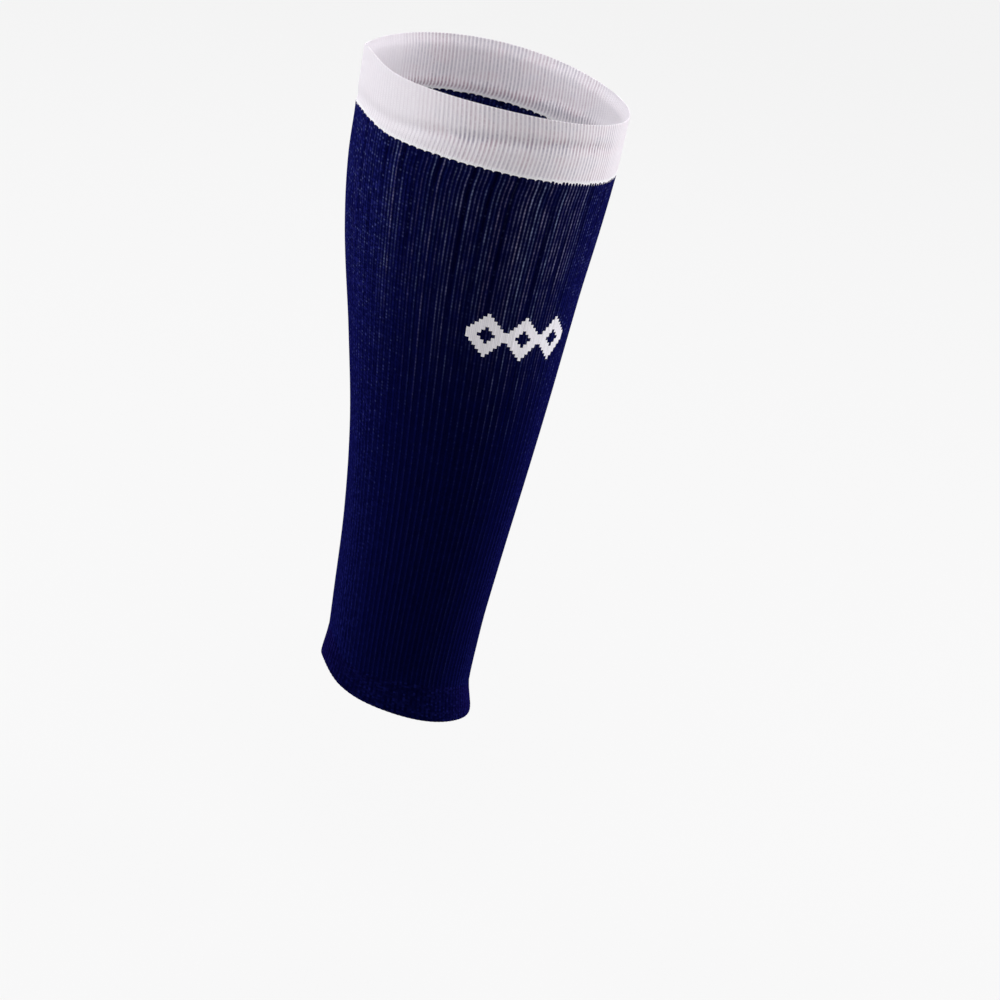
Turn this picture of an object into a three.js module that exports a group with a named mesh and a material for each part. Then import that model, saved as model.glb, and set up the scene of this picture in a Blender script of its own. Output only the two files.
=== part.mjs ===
// Calf compression sleeve: a tapered knitted tube for the lower leg, open at both ends.
// Millimetres. +Z runs up the leg, -Y is the shin, +Y the calf muscle, X runs side to side.
// The origin lies on the leg's axis where the calf is fullest.
import * as THREE from "three";

// Length of the sleeve, measured up the shin
const sleeveLength = 300;

// The worn sleeve's outside at its narrowest, over the ankle, and at its fullest, over the calf
const ankleDepth = 78;
const ankleWidth = 63;
const calfDepth = 135;
const calfWidth = 106;

// Bands at the two ends
const cuffHeight = 27.5;
const hemHeight = 17;

// Thickness of the three knits: a folded double rib, a single rib and a turned hem
const cuffWall = 1.6;
const tubeWall = 1.2;
const hemWall = 1.8;

// Room left between one knit and the next
const knitGap = 0.3;

// How much higher each end runs at the back of the leg than at the shin
const hemBackRise = 16.5;
const rimBackRise = 3;

// How much lower the hem dips at the two sides of the leg
const hemSideDip = 1.5;

// Where the calf is fullest: share of the sleeve's length above the hem
const seatUp = 0.82;

// Shallow crease around the cuff
const creaseDepth = 0.5;
const creaseWidth = 6;

// The crease climbs from the back of the cuff to its front: shares of the cuff's height
const creaseAtBack = 0.16;
const creaseAtFront = 0.68;

// Smoothness of the solids
const columnsAround = 64;
const rowSpacing = 13.5;
const cuffRowSpacing = 3.4;

// The leg's form, from hem to rim.
// up: share of the sleeve's length.
// fullness: 0 has the ankle's depth and width, 1 has the calf's.
// inFront: share of the depth that lies on the shin's side of the axis.
const legSections = [
  { up: 0.0, fullness: 0.09, inFront: 0.555 },
  { up: 0.055, fullness: 0.0, inFront: 0.545 },
  { up: 0.12, fullness: 0.02, inFront: 0.55 },
  { up: 0.25, fullness: 0.11, inFront: 0.575 },
  { up: 0.4, fullness: 0.285, inFront: 0.578 },
  { up: 0.55, fullness: 0.535, inFront: 0.545 },
  { up: 0.7, fullness: 0.8, inFront: 0.507 },
  { up: 0.82, fullness: 0.955, inFront: 0.509 },
  { up: 0.9, fullness: 1.0, inFront: 0.523 },
  { up: 1.0, fullness: 1.025, inFront: 0.533 },
];

// One column of the leg table as a smooth curve along the sleeve
function curveOf(column) {
  const places = legSections.map((section) => section.up);
  const values = legSections.map((section) => section[column]);
  return new THREE.CubicInterpolant(places, values, 1, []);
}
const fullnessCurve = curveOf("fullness");
const inFrontCurve = curveOf("inFront");

// How far the sleeve's outside reaches from the leg's axis, at a share of its length
function reachAt(up) {
  const fullness = fullnessCurve.evaluate(up)[0];
  const inFront = inFrontCurve.evaluate(up)[0];
  const depth = THREE.MathUtils.lerp(ankleDepth, calfDepth, fullness);
  const width = THREE.MathUtils.lerp(ankleWidth, calfWidth, fullness);
  return { front: depth * inFront, back: depth * (1 - inFront), side: width / 2 };
}

// Share of an end's back rise that is reached at an angle: 0 at the shin, 1 at the back
function backShare(angle) {
  return (1 - Math.cos(angle)) / 2;
}

// How much higher the knit lies at an angle than at the shin, at a share of the sleeve's length
function riseAt(angle, up) {
  const backRise = THREE.MathUtils.lerp(hemBackRise, rimBackRise, up);
  const sideDip = THREE.MathUtils.lerp(hemSideDip, 0, up);
  return backRise * backShare(angle) - sideDip * Math.sin(angle) ** 2;
}

// The point of the worn sleeve at an angle from the shin, at a height above the hem,
// and at a distance inwards from the smooth outside
function pointOnLeg(angle, height, inwards) {
  const up = height / sleeveLength;
  const { front, back, side } = reachAt(up);
  const ahead = Math.cos(angle);
  const across = Math.sin(angle);
  const reach = ahead > 0 ? front : back;
  const outwards = new THREE.Vector2(across / side, -ahead / reach).normalize();
  return new THREE.Vector3(
    side * across - inwards * outwards.x,
    -reach * ahead - inwards * outwards.y,
    height + riseAt(angle, up),
  );
}

// Depth of the cuff's crease at an angle and a height above the hem
function creaseInwards(angle, height) {
  const climb = THREE.MathUtils.lerp(creaseAtBack, creaseAtFront, (1 - backShare(angle)) ** 2);
  const creaseHeight = sleeveLength - cuffHeight + climb * cuffHeight;
  const away = (height - creaseHeight) / (creaseWidth / 2);
  return creaseDepth * Math.exp(-away * away);
}

// Section of a knit's wall from one height to another, with rounded ends.
// x is the distance inwards from the outside and y the height. It closes on itself.
function wallSection(bottom, top, wall, spacing) {
  const bend = wall / 2;
  const low = bottom + bend;
  const high = top - bend;
  const rows = Math.max(2, Math.round((high - low) / spacing));
  const section = new THREE.Path();
  section.moveTo(0, low);
  for (let row = 1; row <= rows; row += 1) {
    section.lineTo(0, THREE.MathUtils.lerp(low, high, row / rows));
  }
  for (const turn of [1 / 3, 2 / 3]) {
    section.lineTo(bend - bend * Math.cos(turn * Math.PI), high + bend * Math.sin(turn * Math.PI));
  }
  for (let row = 0; row <= rows; row += 1) {
    section.lineTo(wall, THREE.MathUtils.lerp(high, low, row / rows));
  }
  for (const turn of [1 / 3, 2 / 3]) {
    section.lineTo(bend + bend * Math.cos(turn * Math.PI), low - bend * Math.sin(turn * Math.PI));
  }
  section.closePath();
  return section.getPoints();
}

// A knitted ring: its wall section turned around a plain cylinder, then drawn over the leg's form
function knitRing(bottom, top, wall, spacing, dentAt) {
  const plainRadius = calfDepth;
  const profile = wallSection(bottom, top, wall, spacing).map(
    (point) => new THREE.Vector2(plainRadius - point.x, point.y),
  );
  const geometry = new THREE.LatheGeometry(profile, columnsAround);
  const positions = geometry.getAttribute("position");
  for (let index = 0; index < positions.count; index += 1) {
    const plain = new THREE.Vector3().fromBufferAttribute(positions, index);
    const angle = Math.atan2(plain.x, plain.z);
    const inwards = plainRadius - Math.hypot(plain.x, plain.z);
    const dent = dentAt ? dentAt(angle, plain.y) : 0;
    const worn = pointOnLeg(angle, plain.y, inwards + dent);
    positions.setXYZ(index, worn.x, worn.y, worn.z);
  }
  geometry.computeVertexNormals();
  return geometry;
}

const whiteKnit = new THREE.MeshStandardMaterial({ color: 0xefe9ee, roughness: 0.9, metalness: 0 });
const navyRib = new THREE.MeshStandardMaterial({ color: 0x12153f, roughness: 0.85, metalness: 0 });
const navyHemKnit = new THREE.MeshStandardMaterial({ color: 0x0e1038, roughness: 0.8, metalness: 0 });

// White ribbed cuff, folded double, at the top
function makeCuff() {
  const bottom = sleeveLength - cuffHeight + knitGap / 2;
  const geometry = knitRing(bottom, sleeveLength, cuffWall, cuffRowSpacing, creaseInwards);
  const cuff = new THREE.Mesh(geometry, whiteKnit);
  cuff.name = "cuff";
  return cuff;
}

// Navy ribbed tube from the hem to the cuff
function makeLegTube() {
  const bottom = hemHeight + knitGap / 2;
  const top = sleeveLength - cuffHeight - knitGap / 2;
  const legTube = new THREE.Mesh(knitRing(bottom, top, tubeWall, rowSpacing), navyRib);
  legTube.name = "leg_tube";
  return legTube;
}

// Navy turned hem around the ankle
function makeAnkleHem() {
  const top = hemHeight - knitGap / 2;
  const ankleHem = new THREE.Mesh(knitRing(0, top, hemWall, cuffRowSpacing), navyHemKnit);
  ankleHem.name = "ankle_hem";
  return ankleHem;
}

const calfSleeve = new THREE.Group();
calfSleeve.name = "calf_sleeve";
calfSleeve.position.z = -seatUp * sleeveLength;
calfSleeve.add(makeCuff(), makeLegTube(), makeAnkleHem());

export default calfSleeve;
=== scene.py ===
import math

import bpy
import numpy as np
from mathutils import Matrix, Vector


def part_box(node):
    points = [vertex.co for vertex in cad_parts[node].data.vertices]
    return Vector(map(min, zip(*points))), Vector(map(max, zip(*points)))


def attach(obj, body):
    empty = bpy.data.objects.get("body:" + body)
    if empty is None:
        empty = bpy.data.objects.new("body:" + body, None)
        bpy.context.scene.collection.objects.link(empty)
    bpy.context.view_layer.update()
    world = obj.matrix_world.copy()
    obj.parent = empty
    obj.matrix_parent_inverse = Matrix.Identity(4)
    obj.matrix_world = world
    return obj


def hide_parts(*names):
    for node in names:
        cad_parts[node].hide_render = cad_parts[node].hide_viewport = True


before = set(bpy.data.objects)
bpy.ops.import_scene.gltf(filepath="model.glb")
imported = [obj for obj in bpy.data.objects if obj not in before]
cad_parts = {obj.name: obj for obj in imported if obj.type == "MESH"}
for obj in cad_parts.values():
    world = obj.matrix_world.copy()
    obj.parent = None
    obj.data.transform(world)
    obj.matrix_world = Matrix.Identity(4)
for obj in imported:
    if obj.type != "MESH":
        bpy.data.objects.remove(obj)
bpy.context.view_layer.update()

# Calf compression sleeve: a white ribbed cuff, a navy ribbed tube and a navy hem, as worn on a leg.
# Metres. +Z runs up the leg, -Y is the shin, +Y the calf muscle.
# Angles run round the leg from the shin, positive towards -X, the side that the camera sees.
# Heights run up the shin from the hem's lower edge.

# The worn sleeve's size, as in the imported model
SLEEVE_LENGTH = 0.300
HEM_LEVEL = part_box("ankle_hem")[0].z
ANKLE_DEPTH = 0.078
ANKLE_WIDTH = 0.063
CALF_DEPTH = 0.135
CALF_WIDTH = 0.106
HEM_BACK_RISE = 0.0165
RIM_BACK_RISE = 0.003
HEM_SIDE_DIP = 0.0015

# Where one knit ends and the next begins
CUFF_HEIGHT = 0.0275
CUFF_BOTTOM = SLEEVE_LENGTH - CUFF_HEIGHT
HEM_TOP = 0.017
SEAM_GAP = 0.00005

# Thickness of the knits. The cuff's fold is thinner at the rim.
CUFF_WALL = 0.0016
RIM_WALL = 0.0004
RIM_TAPER = 0.006
TUBE_WALL = 0.0012
HEM_WALL = 0.0018

# Stitches: wales are columns round the leg, counted from the back, and courses are rows up it.
# At the ankle and in the hem two wales make one rib.
WALES = 200
COURSE = 0.0008
STITCH_RELIEF = 0.00008

# Fineness of the meshes: points round the leg for each wale, rows of points up each knit's outside and
# inside, and the distance of the row beside each edge. The tube has finer rows close below the border.
COLUMNS_PER_WALE = 6
CUFF_ROWS = 26
TUBE_ROWS = 48
TUBE_ROWS_INSIDE = 10
BORDER_ROWS = 9
BORDER_ROWS_INSIDE = 5
BORDER_ZONE = 0.008
HEM_ROWS = 14
HEM_ROWS_INSIDE = 5
EDGE_ROW = 0.0001

# The leg's form, from hem to rim.
# up: share of the sleeve's length.
# fullness: 0 has the ankle's depth and width, 1 has the calf's.
# in_front: share of the depth that lies on the shin's side of the axis.
LEG_SECTIONS = (
    {"up": 0.0, "fullness": 0.09, "in_front": 0.555},
    {"up": 0.055, "fullness": 0.0, "in_front": 0.545},
    {"up": 0.12, "fullness": 0.02, "in_front": 0.55},
    {"up": 0.25, "fullness": 0.11, "in_front": 0.575},
    {"up": 0.4, "fullness": 0.285, "in_front": 0.578},
    {"up": 0.55, "fullness": 0.535, "in_front": 0.545},
    {"up": 0.7, "fullness": 0.8, "in_front": 0.507},
    {"up": 0.82, "fullness": 0.955, "in_front": 0.509},
    {"up": 0.9, "fullness": 1.0, "in_front": 0.523},
    {"up": 1.0, "fullness": 1.025, "in_front": 0.533},
)

# Crease round the cuff: its place as a share of the cuff's height, and its section
CREASE_AT_BACK = 0.13
CREASE_AT_FRONT = 0.62
CREASE_DEPTH = 0.0005
CREASE_WIDTH = 0.0055

# The crease fades away round this angle
CREASE_END = math.radians(-35)
CREASE_END_WIDTH = math.radians(28)

# The rim stands a little off a level course: a slow wave round the leg, and a corner pulled up.
# Both fade in from this share of the sleeve's length.
RIM_LIFT_FROM = 0.7
RIM_WAVE = 0.0015
RIM_WAVE_ANGLE = math.radians(50)
RIM_CORNER = 0.005
RIM_CORNER_ANGLE = math.radians(120)
RIM_CORNER_WIDTH = math.radians(20)

# The hem sags in places: how far its lower edge and its seam hang below a level course there.
# The sag fades out on the tube, within its reach above the seam.
# angle and width: degrees round the leg. edge and seam: metres.
HEM_SAGS = (
    {"angle": -40, "width": 27, "edge": 0.0028, "seam": 0.0060},
    {"angle": 85, "width": 28, "edge": 0.0023, "seam": 0.0065},
    {"angle": 140, "width": 18, "edge": 0.0050, "seam": 0.0070},
)
HEM_SAG_REACH = 0.035

# The knit is twisted a little: how far its wales are pushed round at the border, and how much further at the
# crease. The twist is strongest at its middle, and starts at its reach below the border.
BORDER_TWIST = math.radians(1.3)
CREASE_TWIST = math.radians(1.5)
TWIST_MIDDLE = math.radians(45)
TWIST_REACH = 0.012

# Scalloped border between the white and the navy knit, one scallop for two wales, none quite alike.
# Over a stretch beside the shin, given in wales, each wale has its own scallop, higher by a share.
SCALLOP_HEIGHT = 0.0005
SCALLOP_UNEVENNESS = 0.5
SCALLOP_REACH = 0.002
SCALLOP_SEED = 5
SINGLE_SCALLOPS_FROM = 83.5
SINGLE_SCALLOPS_TO = 111.5
SINGLE_SCALLOP_EXTRA = 0.6

# Relief of the knits: half the height of each wale's ridge, and the depth of the sunken wales.
# Ribs: at the ankle the wales close up in pairs, and each pair makes one rib of this half height.
CUFF_RIDGE = 0.00004
CALF_RIDGE = 0.00008
ANKLE_RIDGE = 0.00003
ANKLE_RIB = 0.00012
HEM_RIB = 0.00008
CALF_GROOVE = 0.00035
ANKLE_GROOVE = 0.00010

# How far above the hem, and below the cuff, the tube's relief takes over from theirs
RELIEF_ABOVE_HEM = 0.010
RELIEF_BELOW_CUFF = 0.006

# How the tube's wales are sunken, from 0 to 1, drawn at some places up the sleeve and eased from one wale to
# the next. The steps are the fewest and most wales from one groove to the next.
GROOVE_SEED = 23
GROOVE_STEPS = (4, 7)
GROOVE_PLACES = 10
GROOVE_SUNKEN = (0.5, 1.2)
WALE_FULLNESS = (0.5, 1.0)
FULLNESS_CHANGE = (0.7, 1.15)
WALE_EASE = (0.15, 0.85)

# Groove where the tube joins the hem
HEM_SEAM_DEPTH = 0.00015
HEM_SEAM_WIDTH = 0.0018


def mix(first, second, share):
    return first + (second - first) * share


def smooth_step(low, high, value):
    share = np.clip((value - low) / (high - low), 0, 1)
    return share * share * (3 - 2 * share)


def smooth_curve(column, up):
    """A column of the leg's sections at shares of the length: a cubic through them with smooth slopes."""
    places = np.array([section["up"] for section in LEG_SECTIONS])
    values = np.array([section[column] for section in LEG_SECTIONS])
    chords = np.diff(values) / np.diff(places)
    inner = (chords[1:] + chords[:-1]) / 2
    slopes = np.concatenate([chords[:1], inner, chords[-1:]])
    start = np.clip(np.searchsorted(places, up, side="right") - 1, 0, len(places) - 2)
    step = places[start + 1] - places[start]
    part = (up - places[start]) / step
    rest = 1 - part
    bend_in = part * rest * rest * step * slopes[start]
    bend_out = part * part * rest * step * slopes[start + 1]
    ease = part * part * (3 - 2 * part)
    return mix(values[start], values[start + 1], ease) + bend_in - bend_out


def back_share(angle):
    """0 at the shin, 1 at the back of the leg."""
    return (1 - np.cos(angle)) / 2


def on_leg(angle, height, inwards):
    """The points of the worn sleeve at angles, heights and distances inwards from its smooth outside."""
    up = height / SLEEVE_LENGTH
    fullness = smooth_curve("fullness", up)
    in_front = smooth_curve("in_front", up)
    depth = mix(ANKLE_DEPTH, CALF_DEPTH, fullness)
    side = mix(ANKLE_WIDTH, CALF_WIDTH, fullness) / 2
    reach = np.where(np.cos(angle) > 0, depth * in_front, depth * (1 - in_front))
    outwards_x = -np.sin(angle) / side
    outwards_y = -np.cos(angle) / reach
    length = np.hypot(outwards_x, outwards_y)
    x = -side * np.sin(angle) - inwards * outwards_x / length
    y = -reach * np.cos(angle) - inwards * outwards_y / length
    back_rise = mix(HEM_BACK_RISE, RIM_BACK_RISE, up)
    side_dip = mix(HEM_SIDE_DIP, 0, up)
    course_level = HEM_LEVEL + height + back_rise * back_share(angle) - side_dip * np.sin(angle) ** 2
    z = course_level + smooth_step(RIM_LIFT_FROM, 1, up) * rim_lift(angle) - hem_sag(angle, height)
    return np.stack([x, y, z], axis=-1)


def rim_lift(angle):
    """How far the rim stands above a level course."""
    wave = RIM_WAVE * np.cos(2 * (angle - RIM_WAVE_ANGLE))
    from_corner = (angle - RIM_CORNER_ANGLE) / RIM_CORNER_WIDTH
    return wave + RIM_CORNER * np.exp(-from_corner * from_corner)


def hem_sag(angle, height):
    """How far the knit hangs below a level course, in the hem and just above it."""
    in_hem = np.clip(height / HEM_TOP, 0, 1)
    sag = 0
    for place in HEM_SAGS:
        away = (angle - math.radians(place["angle"])) / math.radians(place["width"])
        sag = sag + mix(place["edge"], place["seam"], in_hem) * np.exp(-away * away)
    return sag * (1 - smooth_step(HEM_TOP, HEM_TOP + HEM_SAG_REACH, height))


def crease_height(angle):
    """The crease climbs from the back of the cuff to its front."""
    climb = mix(CREASE_AT_BACK, CREASE_AT_FRONT, (1 - back_share(angle)) ** 2)
    return mix(CUFF_BOTTOM, SLEEVE_LENGTH, climb)


def scallop(wale):
    """The border's wave: 1 where the navy rises highest and -1 in the narrow notches between."""
    single = (wale > SINGLE_SCALLOPS_FROM) & (wale < SINGLE_SCALLOPS_TO)
    turn = np.where(single, wale + 0.5, (wale + 0.5) / 2)
    from_middle = np.abs(2 * (turn % 1) - 1)
    chance = np.random.default_rng(SCALLOP_SEED)
    heights = 1 - SCALLOP_UNEVENNESS * chance.random(WALES // 2)
    heights_there = heights[np.floor(turn).astype(int) % len(heights)]
    return (heights_there * (1 - from_middle ** 4) * 2 - 1) * (1 + SINGLE_SCALLOP_EXTRA * single)


def sunken_wales():
    """How far each wale is sunken at places up the sleeve: near 0 on a full wale and near 1 in a groove.
    Every fourth to seventh wale is a groove, deeper in some places than in others."""
    chance = np.random.default_rng(GROOVE_SEED)
    groove = np.zeros(WALES, bool)
    wale = 0
    while wale < WALES:
        groove[wale] = True
        wale += chance.integers(GROOVE_STEPS[0], GROOVE_STEPS[1] + 1)
    everywhere = (GROOVE_PLACES, WALES)
    full = chance.uniform(*WALE_FULLNESS, WALES) * chance.uniform(*FULLNESS_CHANGE, everywhere)
    sunken = np.where(groove, chance.uniform(*GROOVE_SUNKEN, everywhere), 1 - full)
    return np.clip(sunken, 0, 1)


def wale_sunken(wale, angle, height):
    """How far the tube is sunken, smoothly from wale to wale and from place to place up the sleeve."""
    sunken = sunken_wales()
    place = np.clip(height / SLEEVE_LENGTH, 0, 1) * (len(sunken) - 1)
    below = np.minimum(place.astype(int), len(sunken) - 2)
    from_first = wale - 0.5
    left = np.floor(from_first).astype(int)
    share = smooth_step(*WALE_EASE, from_first - left)
    low = mix(sunken[below, left % WALES], sunken[below, (left + 1) % WALES], share)
    high = mix(sunken[below + 1, left % WALES], sunken[below + 1, (left + 1) % WALES], share)
    return mix(low, high, place - below)


def ridge(wale):
    """1 along the middle of each wale and -1 between two wales."""
    return -np.cos(2 * np.pi * wale)


def rib(wale):
    """1 along the middle of every second wale and -1 along the middle of the others."""
    return np.cos(np.pi * (wale - 0.5))


def section_rows(outer, inner, bottom_bend, top_bend):
    """A knit's closed section: up the outside, over the top, down the inside and round the bottom.
    Gives each row's height and its share of the wall's thickness, 0 outside and 1 inside."""
    turn = np.radians([30, 60, 90, 120, 150])
    heights = [outer]
    shares = [np.zeros(len(outer))]
    if top_bend:
        heights.append(outer[-1] + top_bend * np.sin(turn))
        shares.append((1 - np.cos(turn)) / 2)
    heights.append(inner)
    shares.append(np.ones(len(inner)))
    if bottom_bend:
        heights.append(outer[0] - bottom_bend * np.sin(turn))
        shares.append((1 + np.cos(turn)) / 2)
    return np.concatenate(heights), np.concatenate(shares)


def ring_mesh(name, points, wales, courses, sunken):
    """A closed ring of quads from a grid of points, with the stitches' count as one UV map and a flat layout
    for baking as another. Rows run round the section, columns round the leg."""
    rows, columns = points.shape[:2]
    row, column = np.meshgrid(np.arange(rows), np.arange(columns), indexing="ij")
    next_row = (row + 1) % rows
    next_column = (column + 1) % columns
    corners = [(row, column), (next_row, column), (next_row, next_column), (row, next_column)]
    faces = np.stack([r * columns + c for r, c in corners], axis=-1).reshape(-1, 4)

    mesh = bpy.data.meshes.new(name)
    mesh.vertices.add(rows * columns)
    mesh.vertices.foreach_set("co", points.astype(np.float32).ravel())
    mesh.loops.add(faces.size)
    mesh.loops.foreach_set("vertex_index", faces.astype(np.int32).ravel())
    mesh.polygons.add(len(faces))
    mesh.polygons.foreach_set("loop_start", np.arange(0, faces.size, 4, dtype=np.int32))
    mesh.update(calc_edges=True)
    mesh.shade_smooth()

    step = wales[0, 1] - wales[0, 0]
    right = wales + step
    across = np.stack([wales, wales, right, right], axis=-1)
    above = courses[next_row, 0]
    along = np.stack([courses, above, above, courses], axis=-1)
    knit = mesh.uv_layers.new(name="Knit")
    knit.uv.foreach_set("vector", np.stack([across, along], axis=-1).astype(np.float32).ravel())

    columns_done = np.stack([column, column, column + 1, column + 1], axis=-1) / columns
    rows_done = np.stack([row, row + 1, row + 1, row], axis=-1) / rows
    flat = mesh.uv_layers.new(name="OFBake")
    flat.uv.foreach_set("vector", np.stack([columns_done, rows_done], axis=-1).astype(np.float32).ravel())

    hollow = mesh.attributes.new("sunken", "FLOAT", "POINT")
    hollow.data.foreach_set("value", sunken.astype(np.float32).ravel())

    piece = bpy.data.objects.new(name, mesh)
    bpy.context.scene.collection.objects.link(piece)
    return piece


def knit_ring(name, heights, shares, wall_at, push_at, sunken_at):
    """A knitted ring. push_at gives how far the knit stands out at wales, angles and heights, and sunken_at
    how far it is sunken, from 0 to 1."""
    columns = WALES * COLUMNS_PER_WALE
    wale = np.arange(columns)[None, :] / COLUMNS_PER_WALE
    height = heights[:, None] + np.zeros_like(wale)
    wale = wale + np.zeros_like(height)
    share = shares[:, None] + np.zeros_like(wale)
    straight = 2 * np.pi * wale / WALES - np.pi
    angle = straight + twist_at(straight, height)
    nearness = np.exp(-np.abs(height - CUFF_BOTTOM) / SCALLOP_REACH)
    waved = height + SCALLOP_HEIGHT * scallop(wale) * nearness
    inwards = share * wall_at(height) - push_at(wale, angle, waved)
    points = on_leg(angle, waved, inwards)
    return ring_mesh(name, points, wale, height / COURSE, sunken_at(wale, angle, height))


def twist_at(angle, height):
    """How far round the wales are pushed. It grows from nothing on the tube to most at the crease, and is
    less again at the rim."""
    crease = crease_height(angle)
    below = (height - CUFF_BOTTOM) / (crease - CUFF_BOTTOM)
    above = (SLEEVE_LENGTH - height) / (SLEEVE_LENGTH - crease)
    peak = np.clip(np.minimum(below, above), 0, 1)
    twist = BORDER_TWIST * smooth_step(CUFF_BOTTOM - TWIST_REACH, CUFF_BOTTOM, height)
    twist = twist + CREASE_TWIST * np.sin(peak * np.pi / 2)
    return -twist * np.cos(angle - TWIST_MIDDLE)


def crease_sunken(wale, angle, height):
    """1 in the cuff's crease, 0 away from it and where it ends."""
    away = (height - crease_height(angle)) / (CREASE_WIDTH / 2)
    from_end = (angle - CREASE_END) / CREASE_END_WIDTH
    return np.exp(-away * away) * (1 - np.exp(-from_end * from_end))


def hem_seam_at(height):
    """Depth of the groove where the tube joins the hem."""
    away = (height - HEM_TOP) / (HEM_SEAM_WIDTH / 2)
    return HEM_SEAM_DEPTH * np.exp(-away * away)


def tube_push(wale, angle, height):
    """The tube's relief: the hem's ribs at the bottom, the cuff's wales at the top, and its own between."""
    fullness = np.clip(smooth_curve("fullness", height / SLEEVE_LENGTH), 0, 1)
    from_hem = smooth_step(HEM_TOP, HEM_TOP + RELIEF_ABOVE_HEM, height)
    to_cuff = smooth_step(CUFF_BOTTOM - RELIEF_BELOW_CUFF, CUFF_BOTTOM, height)
    groove = mix(ANKLE_GROOVE, CALF_GROOVE, fullness) * from_hem * (1 - to_cuff)
    own_ridge = mix(ANKLE_RIDGE, CALF_RIDGE, fullness) * from_hem
    wales = mix(own_ridge, CUFF_RIDGE, to_cuff) * ridge(wale)
    ribs = mix(HEM_RIB, ANKLE_RIB, from_hem) * (1 - fullness) * rib(wale)
    return wales + ribs - groove * wale_sunken(wale, angle, height) - hem_seam_at(height)


def cuff_push(wale, angle, height):
    return CUFF_RIDGE * ridge(wale) - CREASE_DEPTH * crease_sunken(wale, angle, height)


def hem_push(wale, angle, height):
    return HEM_RIB * rib(wale) - hem_seam_at(height)


def not_sunken(wale, angle, height):
    return np.zeros_like(wale)


def cuff_wall_at(height):
    return mix(CUFF_WALL, RIM_WALL, smooth_step(SLEEVE_LENGTH - RIM_TAPER, SLEEVE_LENGTH, height))


def rows_between(first, last, count):
    """Heights for rows of points, with one more row close beside each end, which keeps the edge crisp."""
    beside = EDGE_ROW if last > first else -EDGE_ROW
    return np.concatenate([[first], np.linspace(first + beside, last - beside, count), [last]])


def make_cuff():
    bottom = CUFF_BOTTOM + SEAM_GAP / 2
    top = SLEEVE_LENGTH - RIM_WALL / 2
    rows = rows_between(bottom, top, CUFF_ROWS)
    heights, shares = section_rows(rows, rows[::-1], 0, RIM_WALL / 2)
    return knit_ring("cuff_knit_ring", heights, shares, cuff_wall_at, cuff_push, crease_sunken)


def make_leg_tube():
    bottom = HEM_TOP + SEAM_GAP / 2
    top = CUFF_BOTTOM - SEAM_GAP / 2
    fine_from = top - BORDER_ZONE
    # The coarse rows leave out the two that lie where the fine ones begin
    up_to_zone = rows_between(bottom, fine_from, TUBE_ROWS)[:-2]
    up_zone = rows_between(fine_from, top, BORDER_ROWS)
    down_zone = rows_between(top, fine_from, BORDER_ROWS_INSIDE)
    down_from_zone = rows_between(fine_from, bottom, TUBE_ROWS_INSIDE)[2:]
    outer = np.concatenate([up_to_zone, up_zone])
    inner = np.concatenate([down_zone, down_from_zone])
    heights, shares = section_rows(outer, inner, 0, 0)
    return knit_ring("leg_tube_knit", heights, shares, lambda height: TUBE_WALL, tube_push, wale_sunken)


def make_ankle_hem():
    bottom = HEM_WALL / 2
    top = HEM_TOP - SEAM_GAP / 2
    outer = rows_between(bottom, top, HEM_ROWS)
    inner = rows_between(top, bottom, HEM_ROWS_INSIDE)
    heights, shares = section_rows(outer, inner, HEM_WALL / 2, 0)
    return knit_ring("ankle_hem_knit", heights, shares, lambda height: HEM_WALL, hem_push, not_sunken)


# Stitches: how far their legs fall to the sides, in courses for a whole wale, and how much lower the knit
# dips between one stitch and the next
STITCH_SLANT = 1.4
STITCH_DIP = 0.55

# The greater this is, the fewer stitches are much lighter than the rest
HEATHER_SHARPNESS = 3.0

SHEEN_ROUGHNESS = 0.45


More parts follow.
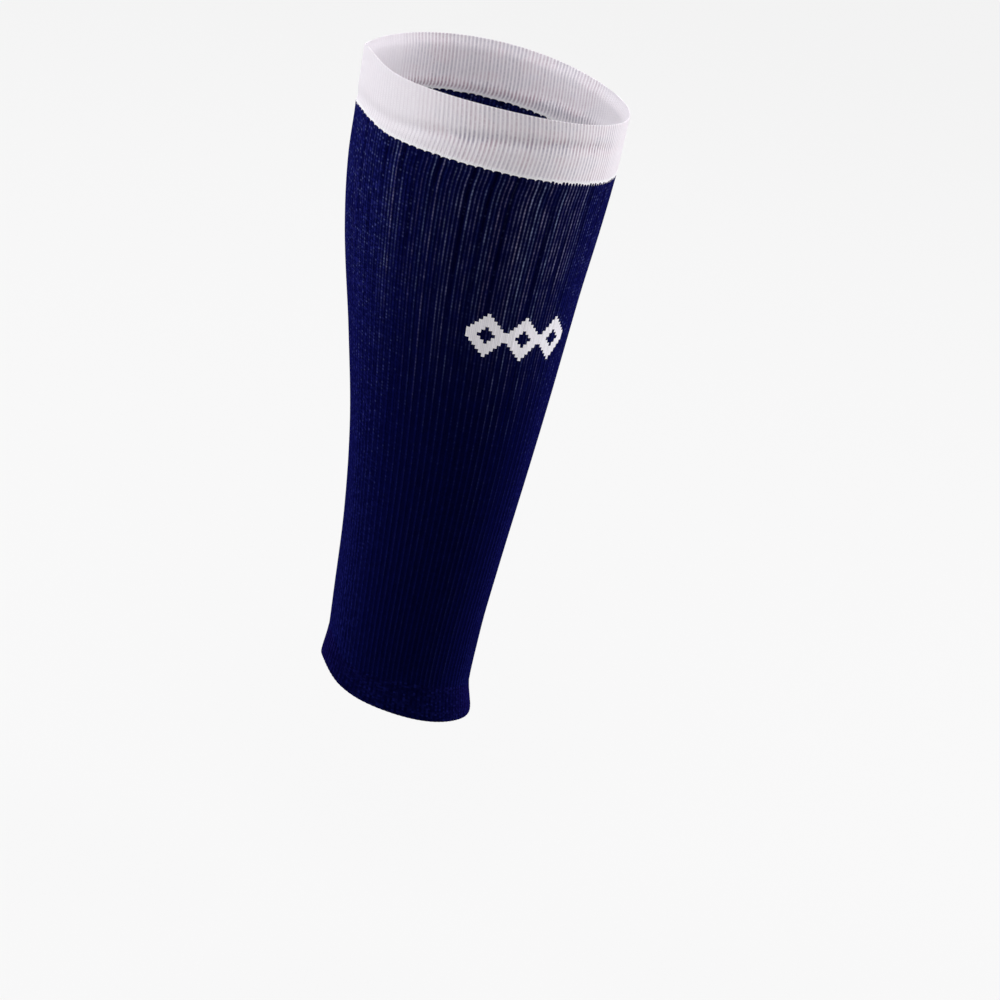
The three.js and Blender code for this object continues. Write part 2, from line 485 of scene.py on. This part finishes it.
class Shader:
    """A new material, with short calls that add its nodes."""

    def __init__(self, name):
        self.material = bpy.data.materials.new(name)
        self.material.use_nodes = True
        self.tree = self.material.node_tree
        self.surface = self.tree.nodes["Principled BSDF"]

    def put(self, value, socket):
        """Links a socket to a node's output, or sets it to a number or colour."""
        if isinstance(value, bpy.types.NodeSocket):
            self.tree.links.new(value, socket)
        else:
            socket.default_value = value

    def math(self, operation, *values):
        node = self.tree.nodes.new("ShaderNodeMath")
        node.operation = operation
        for socket, value in zip(node.inputs, values):
            self.put(value, socket)
        return node.outputs["Value"]

    def product(self, *values):
        result = values[0]
        for value in values[1:]:
            result = self.math("MULTIPLY", result, value)
        return result

    def one_minus(self, value):
        return self.math("SUBTRACT", 1.0, value)

    def scaled(self, share, low, high):
        """low where the share is 0, and high where it is 1."""
        return self.math("MULTIPLY_ADD", share, high - low, low)

    def ramp(self, value, low, high, from_value=0.0, to_value=1.0):
        """from_value below low, to_value above high, and smooth between."""
        node = self.tree.nodes.new("ShaderNodeMapRange")
        node.interpolation_type = "SMOOTHSTEP"
        node.inputs["From Min"].default_value = low
        node.inputs["From Max"].default_value = high
        node.inputs["To Min"].default_value = from_value
        node.inputs["To Max"].default_value = to_value
        self.put(value, node.inputs["Value"])
        return node.outputs["Result"]

    def between(self, value, places, before=0.0):
        """Rises to 1 between the first two places, and falls to 0 between the last two."""
        rise = self.ramp(value, places[0], places[1], before, 1.0)
        fall = self.ramp(value, places[2], places[3], 1.0, 0.0)
        return self.product(rise, fall)

    def colours(self, share, first, second):
        node = self.tree.nodes.new("ShaderNodeMixRGB")
        self.put(share, node.inputs["Fac"])
        self.put(first, node.inputs["Color1"])
        self.put(second, node.inputs["Color2"])
        return node.outputs["Color"]

    def pair(self, x, y):
        node = self.tree.nodes.new("ShaderNodeCombineXYZ")
        self.put(x, node.inputs["X"])
        self.put(y, node.inputs["Y"])
        return node.outputs["Vector"]

    def chance(self, x, y=0.0):
        """A random number from 0 to 1 for each whole pair."""
        node = self.tree.nodes.new("ShaderNodeTexWhiteNoise")
        node.noise_dimensions = "2D"
        self.put(self.pair(x, y), node.inputs["Vector"])
        return node.outputs["Value"]

    def cloud(self, wale, course, grain):
        """Smooth noise from 0 to 1. grain: how many of its lumps there are for each wale and each course."""
        place = self.pair(self.product(wale, grain[0]), self.product(course, grain[1]))
        node = self.tree.nodes.new("ShaderNodeTexNoise")
        node.noise_dimensions = "2D"
        self.put(place, node.inputs["Vector"])
        node.inputs["Scale"].default_value = 1.0
        node.inputs["Detail"].default_value = 2.0
        return node.outputs["Fac"]

    def wave(self, turns):
        """Goes from 0 at whole turns to 1 halfway."""
        cosine = self.math("COSINE", self.math("MULTIPLY", turns, 2 * math.pi))
        return self.math("MULTIPLY_ADD", cosine, -0.5, 0.5)

    def ribs(self, wale):
        """1 along the middle of every second wale and 0 along the middle of the others."""
        return self.wave(self.math("MULTIPLY_ADD", wale, 0.5, 0.25))

    def heather(self, wale, course):
        """A random share for each stitch: near 0 on most stitches and near 1 on a few."""
        chance = self.chance(self.math("FLOOR", wale), self.math("FLOOR", course))
        return self.math("POWER", chance, HEATHER_SHARPNESS)

    def sunken(self):
        """How far the knit is sunken, from 0 to 1, as the mesh says."""
        node = self.tree.nodes.new("ShaderNodeAttribute")
        node.attribute_name = "sunken"
        return node.outputs["Fac"]

    def knit_place(self):
        """The wale and the course at a point, counted from the back and from the hem."""
        node = self.tree.nodes.new("ShaderNodeUVMap")
        node.uv_map = "Knit"
        parts = self.tree.nodes.new("ShaderNodeSeparateXYZ")
        self.tree.links.new(node.outputs["UV"], parts.inputs["Vector"])
        return parts.outputs["X"], parts.outputs["Y"]

    def stitches(self, wale, course):
        """The relief of the stitches, from 0 to 1: each is an upturned V, whose two legs fall outwards."""
        across = self.math("ABSOLUTE", self.math("SUBTRACT", self.math("FRACT", wale), 0.5))
        from_leg = self.math("MULTIPLY_ADD", across, 4.0, -1.0)
        leg = self.one_minus(self.product(from_leg, from_leg))
        along = self.wave(self.math("MULTIPLY_ADD", across, STITCH_SLANT, course))
        return self.product(leg, self.scaled(along, 1 - STITCH_DIP, 1.0))

    def bump(self, height, distance):
        node = self.tree.nodes.new("ShaderNodeBump")
        node.inputs["Strength"].default_value = 1.0
        node.inputs["Distance"].default_value = distance
        self.put(height, node.inputs["Height"])
        self.tree.links.new(node.outputs["Normal"], self.surface.inputs["Normal"])

    def cloth(self, roughness, sheen, sheen_colour):
        """A matt surface with a soft sheen."""
        self.surface.inputs["Roughness"].default_value = roughness
        self.surface.inputs["Specular IOR Level"].default_value = 0.0
        self.surface.inputs["Sheen Weight"].default_value = sheen
        self.surface.inputs["Sheen Roughness"].default_value = SHEEN_ROUGHNESS
        self.surface.inputs["Sheen Tint"].default_value = sheen_colour


# Colours of the white knit: its yarn, the plain edge at the border, painted crest highlight and groove shade
WHITE_YARN = (0.91, 0.87, 0.92, 1)
WHITE_YARN_DULL = (0.85, 0.81, 0.86, 1)
WHITE_AT_BORDER = (0.98, 0.98, 1.0, 1)
# The crests carry a painted highlight, and the grooves between them painted shade, tinted lilac and rosy
WHITE_CREST_HIGHLIGHT = (1.0, 0.98, 1.0, 1)
LILAC_GROOVE_SHADE = (0.43, 0.40, 0.48, 1)
ROSY_GROOVE_SHADE = (0.51, 0.39, 0.455, 1)
WHITE_SHEEN = (1.0, 0.95, 1.0, 1)
WHITE_SHEEN_WEIGHT = 0.1
WHITE_ROUGHNESS = 0.95

# Where the painted shade lines and crest highlight are clear, in wales from the back: they come up between
# the first two and fade between the last two. Behind, they start at a share of their strength.
# Elsewhere they are faint, over the stretches that the side lamps light most
LINES_IN_FRONT = (87.0, 97.0, 130.0, 150.0)
LINES_BEHIND = (0.0, 8.0, 54.0, 64.0)
LINES_AT_BACK = 0.3
FAINTEST_LINES = 0.12

# The lines come up between these two heights above the border, in courses
LINES_ABOVE_BORDER = (0.5, 3.0)

# Strength of the painted shade lines away from the crease and in it, and how narrow they are
LINES_ON_CUFF = 0.55
# Stronger in the crease: painted crease shade
LINE_SHADE_IN_CREASE = 1.25
LINE_SHARPNESS = 1.3

# How much the lines differ from one another, and their stitches
UNEVEN_LINES = (0.65, 1.0)
UNEVEN_WHITE_STITCHES = (0.75, 1.25)

# Grain of the yarn's two shades, and of the patches of lilac and rosy lines, with the patches' soft edges
WHITE_GRAIN = (1.0, 0.5)
LINE_COLOUR_GRAIN = (0.12, 0.08)
LINE_COLOUR_EDGE = (0.4, 0.6)

# A painted highlight brightens the crests' narrow middles. Their mean brightness stays where the knit is
# plain.
CREST_SHARPNESS = 4.0
CREST_BRIGHTNESS = 0.9
MEAN_CREST = 0.27


def painted_groove_shade(shader, wale, course, clear):
    """How strong the painted shade in the grooves between the crests is."""
    line_number = shader.math("ROUND", wale)
    uneven_lines = shader.scaled(shader.chance(line_number), *UNEVEN_LINES)
    between_crests = shader.math("POWER", shader.one_minus(shader.wave(wale)), LINE_SHARPNESS)
    # Painted crease shade: the shade lines darken where the mesh marks the cuff's crease
    creased = shader.scaled(shader.sunken(), LINES_ON_CUFF, LINE_SHADE_IN_CREASE)
    uneven_stitches = uneven_white_stitches(shader, wale, course)
    above_border = above_border_at(shader, course)
    return shader.product(between_crests, uneven_lines, uneven_stitches, above_border, clear, creased)


def uneven_white_stitches(shader, wale, course):
    """A random factor for each stitch of each line."""
    line_number = shader.math("ROUND", wale)
    stitch_number = shader.math("FLOOR", course)
    return shader.scaled(shader.chance(line_number, stitch_number), *UNEVEN_WHITE_STITCHES)


def above_border_at(shader, course):
    """0 on the white knit's plain edge at the border, 1 above it."""
    border = CUFF_BOTTOM / COURSE
    return shader.ramp(course, border + LINES_ABOVE_BORDER[0], border + LINES_ABOVE_BORDER[1])


def clear_lines_at(shader, wale):
    """How clear the painted groove shade and crest highlight are round the leg."""
    in_front = shader.between(wale, LINES_IN_FRONT)
    behind = shader.between(wale, LINES_BEHIND, LINES_AT_BACK)
    return shader.scaled(shader.math("MAXIMUM", in_front, behind), FAINTEST_LINES, 1.0)


def painted_crest_highlight(shader, wale, course, clear):
    """How strong the painted highlight in the middles of the crests is."""
    sharp = shader.math("POWER", shader.wave(wale), CREST_SHARPNESS)
    above_mean = shader.math("SUBTRACT", sharp, MEAN_CREST)
    crests = shader.math("MULTIPLY_ADD", above_mean, clear, MEAN_CREST)
    return shader.product(crests, uneven_white_stitches(shader, wale, course), CREST_BRIGHTNESS)


def white_knit():
    """White double rib: a painted highlight on the crests and painted shade, tinted lilac and rosy, in the
    grooves between them, and a plain edge at the border. The painted shade is darker in the crease, and faint
    over the two stretches round the leg that the side lamps light most."""
    shader = Shader("white_knit")
    wale, course = shader.knit_place()
    clear = clear_lines_at(shader, wale)
    cloud = shader.cloud(wale, course, WHITE_GRAIN)
    mixed_yarn = shader.colours(cloud, WHITE_YARN, WHITE_YARN_DULL)
    yarn = shader.colours(above_border_at(shader, course), WHITE_AT_BORDER, mixed_yarn)
    # Painted highlight along the middles of the crests
    crested = shader.colours(painted_crest_highlight(shader, wale, course, clear), yarn, WHITE_CREST_HIGHLIGHT)
    patches = shader.cloud(wale, course, LINE_COLOUR_GRAIN)
    line_colour = shader.colours(shader.ramp(patches, *LINE_COLOUR_EDGE), LILAC_GROOVE_SHADE, ROSY_GROOVE_SHADE)
    # Painted shade in the grooves between the crests, tinted lilac and rosy
    lined = shader.colours(painted_groove_shade(shader, wale, course, clear), crested, line_colour)
    shader.put(lined, shader.surface.inputs["Base Color"])
    shader.bump(shader.stitches(wale, course), STITCH_RELIEF)
    shader.cloth(WHITE_ROUGHNESS, WHITE_SHEEN_WEIGHT, WHITE_SHEEN)
    return shader.material


# Lozenges knitted in white yarn near the shin, in cells that are one wale wide and two courses high.
# Reach and hole: how many cells the lozenge and its hole reach from its middle.
# Painted shade darkens the yarn in the hollows of its stitches.
MOTIF_ANGLE = math.radians(13)
MOTIF_UP = 0.657
LOZENGES = 3
LOZENGE_WALES = 11
LOZENGE_REACH = 6.5
LOZENGE_HOLE = 2.5
CELL_COURSES = 2
MOTIF_HOLLOW_SHADE = (0.84, 0.83, 0.90, 1)
MOTIF_YARN = (1.0, 0.99, 1.0, 1)
MOTIF_HOLLOW_DEPTH = 0.7


def lozenge_mask(shader, wale, course):
    """1 on the stitches of a row of open lozenges, 0 elsewhere."""
    middle_wale = WALES * (MOTIF_ANGLE + math.pi) / (2 * math.pi)
    first_wale = round(middle_wale - LOZENGES * LOZENGE_WALES / 2)
    middle_cell = round(MOTIF_UP * SLEEVE_LENGTH / COURSE / CELL_COURSES)
    cell_across = shader.math("SUBTRACT", shader.math("FLOOR", wale), float(first_wale))
    cell_number = shader.math("FLOOR", shader.product(course, 1 / CELL_COURSES))
    cell_up = shader.math("SUBTRACT", cell_number, float(middle_cell))
    in_lozenge = shader.math("FLOORED_MODULO", cell_across, float(LOZENGE_WALES))
    from_middle = shader.math("ABSOLUTE", shader.math("SUBTRACT", in_lozenge, (LOZENGE_WALES - 1) / 2))
    away = shader.math("ADD", from_middle, shader.math("ABSOLUTE", cell_up))
    inside = shader.math("LESS_THAN", away, LOZENGE_REACH)
    outside_hole = shader.math("GREATER_THAN", away, LOZENGE_HOLE)
    after_first = shader.math("GREATER_THAN", cell_across, -0.5)
    before_last = shader.math("LESS_THAN", cell_across, LOZENGES * LOZENGE_WALES - 0.5)
    return shader.product(inside, outside_hole, after_first, before_last)


# Colours of the navy knits: the yarn of the tube and of the hem, each from dark to light, the few lighter
# stitches, and the shade in the hollows
NAVY_YARN_DARK = (0.0008, 0.0018, 0.028, 1)
NAVY_YARN_LIGHT = (0.0018, 0.0034, 0.052, 1)
HEM_YARN_DARK = (0.0005, 0.0010, 0.016, 1)
HEM_YARN_LIGHT = (0.0012, 0.0020, 0.032, 1)
HEATHER_YARN = (0.014, 0.018, 0.16, 1)
NAVY_SHADE = (0.0003, 0.0004, 0.006, 1)
NAVY_SHEEN = (0.08, 0.07, 1.0, 1)
HEM_SHEEN = (0.12, 0.06, 1.0, 1)
NAVY_SHEEN_WEIGHT = 0.15
NAVY_ROUGHNESS = 0.85
TUBE_GRAIN = (0.3, 0.1)
HEM_GRAIN = (0.4, 0.15)

# Strength of the shade in the tube's grooves, between its wales in front and at the calf, and between the
# ribs of the tube and of the hem
GROOVE_SHADE = 0.85
WALE_SHADE_IN_FRONT = 0.6
WALE_SHADE_AT_CALF = 0.3
TUBE_RIB_SHADE = 0.6
HEM_RIB_SHADE = 0.45

# A wale that is sunken less than the first loses none of its pale line, and one sunken as far as the second
# has only shade
GROOVE_BEGINS = (0.5, 1.0)

# Strength of the lighter stitches
HEATHER_IN_FRONT = 0.5
HEATHER_AT_CALF = 0.7
HEATHER_IN_HEM = 0.35

# Colours of the pale elastic yarn: along the wales, from rosy to bluish, and in the specks
ROSY_ELASTIC = (0.22, 0.20, 0.32, 1)
BLUISH_ELASTIC = (0.18, 0.23, 0.38, 1)
SPECK_ELASTIC = (0.12, 0.15, 0.40, 1)

# Up the leg, in courses: where the knit stretches enough to show pale yarn, where specks come up, and where
# the wales of the ankle's pairs draw apart
STRETCHED = (170.0, 320.0)
ELASTIC_AT_ANKLE = 0.04
SPECKS_COME_UP = (40.0, 300.0)
SPECKS_AT_ANKLE = 0.1
PAIRS_DRAW_APART = (190.0, 310.0)

# Round the leg, in wales from the back, with the far side first, then the shin at 100 and the near side:
# where pale lines begin beside the shin and where they fade towards the calf, all but a few lone ones, which
# fade further round
PALE_LINES_BEGIN = (95.0, 101.0)
PALE_LINES_FADE = (116.0, 146.0)
LONE_LINES_FADE = (156.0, 166.0)
FAINTEST_ON_FAR_SIDE = 0.1
FAINTEST_AT_CALF = 0.12
LONE_LINE_STRENGTH = 0.6
LONE_LINE_CHANCE = (0.76, 0.80)
PALE_LINE_SHARPNESS = 4.0

# How much the pale lines differ: their strength between two dots, their dots, and the wales, and the streaks
# in which they come and go up the leg
BETWEEN_DOTS = 0.5
UNEVEN_DOTS = (0.6, 1.4)
FAINTEST_PALE_WALE = 0.3
STREAK_GRAIN = (3.7, 0.08)
STREAK_EDGE = (0.35, 0.65)
FAINTEST_STREAK = 0.25

# Round the leg: where specks and lighter stitches fade beside the shin, and where they grow towards the
# near side of the calf
SPECKS_FADE = (92.0, 100.0)
SPECKS_GROW = (136.0, 156.0)
SPECKS_ON_FAR_SIDE = 0.95
FEWEST_SPECKS = 0.2
SPECK_STRENGTH = 0.5
SPECK_SHARPNESS = 1.5
SPECK_CHANCE = (0.6, 1.0)

# Round the leg: where the calf's side begins, with more of the lighter stitches and less shade between wales
CALF_SIDE = (142.0, 158.0)

# Numbers that tell one draw of chance from another
LONE_LINE_DRAW = 11.0
LINE_STRENGTH_DRAW = 3.0
LINE_COLOUR_DRAW = 7.0


def navy_stitch_chance(shader, wale, course):
    """A random number for every two courses of each wale."""
    return shader.chance(shader.math("FLOOR", wale), shader.math("FLOOR", shader.product(course, 0.5)))


def pale_dots(shader, course):
    """1 at the middle of every two courses, 0 where they meet the next two."""
    return shader.wave(shader.product(course, 0.5))


def line_reach(shader, wale):
    """How strong the pale lines are round the leg."""
    beside_shin = shader.ramp(wale, *PALE_LINES_BEGIN, FAINTEST_ON_FAR_SIDE, 1.0)
    lone = shader.chance(shader.math("FLOOR", wale), LONE_LINE_DRAW)
    lone_lines = shader.product(shader.ramp(lone, *LONE_LINE_CHANCE, 0.0, LONE_LINE_STRENGTH),
                                shader.ramp(wale, *LONE_LINES_FADE, 1.0, 0.0))
    towards_calf = shader.ramp(wale, *PALE_LINES_FADE, 1.0, FAINTEST_AT_CALF)
    return shader.product(beside_shin, shader.math("MAXIMUM", towards_calf, lone_lines))


def pale_lines(shader, wale, course, seen, stretched):
    """How strong the pale dotted lines along the wales are. Sunken wales have none."""
    wale_number = shader.math("FLOOR", wale)
    line = shader.math("POWER", shader.wave(wale), PALE_LINE_SHARPNESS)
    uneven_dots = shader.product(shader.scaled(pale_dots(shader, course), BETWEEN_DOTS, 1.0),
                                 shader.scaled(navy_stitch_chance(shader, wale, course), *UNEVEN_DOTS))
    wale_chance = shader.chance(wale_number, LINE_STRENGTH_DRAW)
    uneven_wales = shader.ramp(wale_chance, 0.0, 1.0, FAINTEST_PALE_WALE, 1.0)
    slow = shader.cloud(wale_number, course, STREAK_GRAIN)
    streaks = shader.ramp(slow, *STREAK_EDGE, FAINTEST_STREAK, 1.0)
    full_wale = shader.ramp(shader.sunken(), *GROOVE_BEGINS, 1.0, 0.0)
    return shader.product(line, uneven_dots, uneven_wales, streaks, full_wale, stretched,
                          line_reach(shader, wale), seen)


def speckled_sides(shader, wale):
    """How many specks and lighter stitches there are round the leg: most at its two sides."""
    return shader.math("MAXIMUM", shader.ramp(wale, *SPECKS_GROW, FEWEST_SPECKS, 1.0),
                       shader.ramp(wale, *SPECKS_FADE, SPECKS_ON_FAR_SIDE, FEWEST_SPECKS))


def pale_specks(shader, wale, course, seen, at_sides):
    """How strong the loose pale specks are."""
    speck_place = shader.product(shader.math("POWER", shader.wave(wale), SPECK_SHARPNESS),
                                 shader.math("POWER", pale_dots(shader, course), SPECK_SHARPNESS))
    chosen = shader.ramp(navy_stitch_chance(shader, wale, course), *SPECK_CHANCE)
    in_reach = shader.ramp(course, *SPECKS_COME_UP, SPECKS_AT_ANKLE, 1.0)
    return shader.product(speck_place, chosen, at_sides, in_reach, seen, SPECK_STRENGTH)


def navy_ground(shader, wale, course, hidden, stretched, at_sides):
    """The colour of the navy yarn: mottled, with shade in the grooves, between the wales and between ribs."""
    cloud = shader.cloud(wale, course, TUBE_GRAIN)
    navy = shader.colours(cloud, NAVY_YARN_DARK, NAVY_YARN_LIGHT)
    at_calf = shader.ramp(wale, *CALF_SIDE)
    heather = shader.product(shader.heather(wale, course), at_sides,
                             shader.scaled(at_calf, HEATHER_IN_FRONT, HEATHER_AT_CALF))
    mottled = shader.colours(heather, navy, HEATHER_YARN)
    in_groove = shader.product(shader.ramp(shader.sunken(), *GROOVE_BEGINS, 0.0, GROOVE_SHADE), stretched)
    between_wales = shader.product(shader.one_minus(shader.wave(wale)),
                                   shader.scaled(at_calf, WALE_SHADE_IN_FRONT, WALE_SHADE_AT_CALF))
    between_ribs = shader.product(hidden, TUBE_RIB_SHADE)
    shade = shader.math("MAXIMUM", in_groove, shader.math("MAXIMUM", between_wales, between_ribs))
    return shader.colours(shade, mottled, NAVY_SHADE)


def navy_rib():
    """Navy rib that shows pale elastic yarn where it is stretched: as thin dotted lines along the wales round
    the shin, and as loose specks at the leg's two sides. At the ankle the wales close up in pairs."""
    shader = Shader("navy_rib")
    wale, course = shader.knit_place()
    stitches = shader.stitches(wale, course)
    stretched = shader.ramp(course, *STRETCHED, ELASTIC_AT_ANKLE, 1.0)
    closed_up = shader.ramp(course, *PAIRS_DRAW_APART, 1.0, 0.0)
    hidden = shader.product(closed_up, shader.one_minus(shader.ribs(wale)))
    seen = shader.one_minus(hidden)
    at_sides = speckled_sides(shader, wale)
    ground = navy_ground(shader, wale, course, hidden, stretched, at_sides)
    specked = shader.colours(pale_specks(shader, wale, course, seen, at_sides), ground, SPECK_ELASTIC)
    line_colour = shader.chance(shader.math("FLOOR", wale), LINE_COLOUR_DRAW)
    elastic = shader.colours(line_colour, ROSY_ELASTIC, BLUISH_ELASTIC)
    lined = shader.colours(pale_lines(shader, wale, course, seen, stretched), specked, elastic)
    # Painted shade in the hollows of the motif's stitches, deepest where the stitch relief is lowest
    white = shader.colours(shader.ramp(stitches, 0.0, MOTIF_HOLLOW_DEPTH), MOTIF_HOLLOW_SHADE, MOTIF_YARN)
    whole = shader.colours(lozenge_mask(shader, wale, course), lined, white)
    shader.put(whole, shader.surface.inputs["Base Color"])
    shader.bump(stitches, STITCH_RELIEF)
    shader.cloth(NAVY_ROUGHNESS, NAVY_SHEEN_WEIGHT, NAVY_SHEEN)
    return shader.material


def navy_hem_knit():
    """Navy turned knit: the tube's ribs run on in it, without pale yarn."""
    shader = Shader("navy_hem_knit")
    wale, course = shader.knit_place()
    cloud = shader.cloud(wale, course, HEM_GRAIN)
    navy = shader.colours(cloud, HEM_YARN_DARK, HEM_YARN_LIGHT)
    heather = shader.product(shader.heather(wale, course), HEATHER_IN_HEM)
    mottled = shader.colours(heather, navy, HEATHER_YARN)
    between_ribs = shader.product(shader.one_minus(shader.ribs(wale)), HEM_RIB_SHADE)
    shaded = shader.colours(between_ribs, mottled, NAVY_SHADE)
    shader.put(shaded, shader.surface.inputs["Base Color"])
    shader.bump(shader.stitches(wale, course), STITCH_RELIEF)
    shader.cloth(NAVY_ROUGHNESS, NAVY_SHEEN_WEIGHT, HEM_SHEEN)
    return shader.material


def place_piece(piece, material, node):
    piece.data.materials.append(material)
    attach(piece, "root")
    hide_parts(node)


# Camera: a long lens above and beside the shin, rolled a little
CAMERA_AZIMUTH = math.radians(-45)
CAMERA_ELEVATION = math.radians(20.80)
CAMERA_ROLL = math.radians(10.07)
CAMERA_DISTANCE = 1.5
CAMERA_TARGET = Vector((0.05219, 0.0, -0.15812))
CAMERA_LENS = 111.92
SENSOR_WIDTH = 36
NEAREST_SEEN = 0.1
FURTHEST_SEEN = 60


def towards(azimuth, elevation):
    """The direction from the object to a place at an azimuth and elevation. Azimuth 0 is the shin's side."""
    flat = math.cos(elevation)
    return Vector((math.sin(azimuth) * flat, -math.cos(azimuth) * flat, math.sin(elevation)))


def make_camera():
    data = bpy.data.cameras.new("camera")
    data.lens = CAMERA_LENS
    data.sensor_width = SENSOR_WIDTH
    data.clip_start = NEAREST_SEEN
    data.clip_end = FURTHEST_SEEN
    camera = bpy.data.objects.new("camera", data)
    bpy.context.scene.collection.objects.link(camera)
    back = towards(CAMERA_AZIMUTH, CAMERA_ELEVATION)
    level_right = Vector((0, 0, 1)).cross(back).normalized()
    level_up = back.cross(level_right)
    right = math.cos(CAMERA_ROLL) * level_right + math.sin(CAMERA_ROLL) * level_up
    up = back.cross(right)
    turned = Matrix((right, up, back)).transposed()
    camera.matrix_world = Matrix.Translation(CAMERA_TARGET + CAMERA_DISTANCE * back) @ turned.to_4x4()
    bpy.context.scene.camera = camera


# Softboxes round the object.
# azimuth and elevation: degrees. distance, width and height: metres. power: watts.
LIGHTS = (
    {"name": "left", "azimuth": -140, "elevation": 20, "distance": 1.4, "width": 0.9, "height": 1.4,
     "power": 14.6, "colour": (0.98, 0.98, 1.0)},
    {"name": "right", "azimuth": 50, "elevation": 20, "distance": 1.4, "width": 0.9, "height": 1.4,
     "power": 16, "colour": (1.0, 0.98, 1.0)},
    {"name": "front", "azimuth": -45, "elevation": 50, "distance": 1.6, "width": 1.2, "height": 1.2,
     "power": 10.6, "colour": (1.0, 0.98, 1.0)},
    {"name": "back", "azimuth": 135, "elevation": 40, "distance": 1.6, "width": 1.2, "height": 1.2,
     "power": 8, "colour": (1.0, 0.98, 1.0)},
)


def make_lights():
    for light in LIGHTS:
        data = bpy.data.lights.new(light["name"], "AREA")
        data.shape = "RECTANGLE"
        data.size = light["width"]
        data.size_y = light["height"]
        data.energy = light["power"]
        data.color = light["colour"]
        softbox = bpy.data.objects.new(light["name"], data)
        bpy.context.scene.collection.objects.link(softbox)
        away = towards(math.radians(light["azimuth"]), math.radians(light["elevation"]))
        softbox.location = light["distance"] * away
        softbox.rotation_euler = away.to_track_quat("Z", "Y").to_euler()


# The floor lies this far below the hem. It glows, so that it is pale and even, and the glow reaches no piece.
# Walls of the same stuff stand round its edge, so that no low view sees past it.
FLOOR_DROP = 0.115
FLOOR_HALF_SIZE = 10.0
WALL_HEIGHT = 6.0
FLOOR_COLOUR = (0.06, 0.06, 0.06, 1)
FLOOR_GLOW = (1.0, 1.0, 1.0, 1)
FLOOR_GLOW_STRENGTH = 0.87
WORLD_COLOUR = (1.0, 0.98, 1.0, 1)
WORLD_STRENGTH = 0.335


def stage_piece(name, corners, faces, material):
    """A piece of the stage, which the camera sees but which sends no light to the object."""
    mesh = bpy.data.meshes.new(name)
    mesh.from_pydata(corners, [], faces)
    mesh.materials.append(material)
    piece = bpy.data.objects.new(name, mesh)
    bpy.context.scene.collection.objects.link(piece)
    piece.visible_diffuse = False
    piece.visible_glossy = False
    return piece


def pale_stage():
    shader = Shader("pale_stage")
    shader.surface.inputs["Base Color"].default_value = FLOOR_COLOUR
    shader.surface.inputs["Roughness"].default_value = 1.0
    shader.surface.inputs["Specular IOR Level"].default_value = 0.0
    shader.surface.inputs["Emission Color"].default_value = FLOOR_GLOW
    shader.surface.inputs["Emission Strength"].default_value = FLOOR_GLOW_STRENGTH
    return shader.material


def make_stage():
    level = HEM_LEVEL - FLOOR_DROP
    half = FLOOR_HALF_SIZE
    round_floor = [(-half, -half), (half, -half), (half, half), (-half, half)]
    low_corners = [(x, y, level) for x, y in round_floor]
    high_corners = [(x, y, level + WALL_HEIGHT) for x, y in round_floor]
    material = pale_stage()
    stage_piece("floor", low_corners, [(0, 1, 2, 3)], material)
    wall_faces = [(0, 4, 5, 1), (1, 5, 6, 2), (2, 6, 7, 3), (3, 7, 4, 0)]
    walls = stage_piece("walls", low_corners + high_corners, wall_faces, material)
    walls.visible_shadow = False


def make_world():
    world = bpy.data.worlds.new("pale_room")
    world.use_nodes = True
    world.node_tree.nodes["Background"].inputs["Color"].default_value = WORLD_COLOUR
    world.node_tree.nodes["Background"].inputs["Strength"].default_value = WORLD_STRENGTH
    bpy.context.scene.world = world
    bpy.context.scene.view_settings.view_transform = "Standard"


def make_sleeve():
    cuff = make_cuff()
    place_piece(cuff, white_knit(), "cuff")
    leg_tube = make_leg_tube()
    place_piece(leg_tube, navy_rib(), "leg_tube")
    ankle_hem = make_ankle_hem()
    place_piece(ankle_hem, navy_hem_knit(), "ankle_hem")


make_camera()
make_lights()
make_stage()
make_world()
make_sleeve()
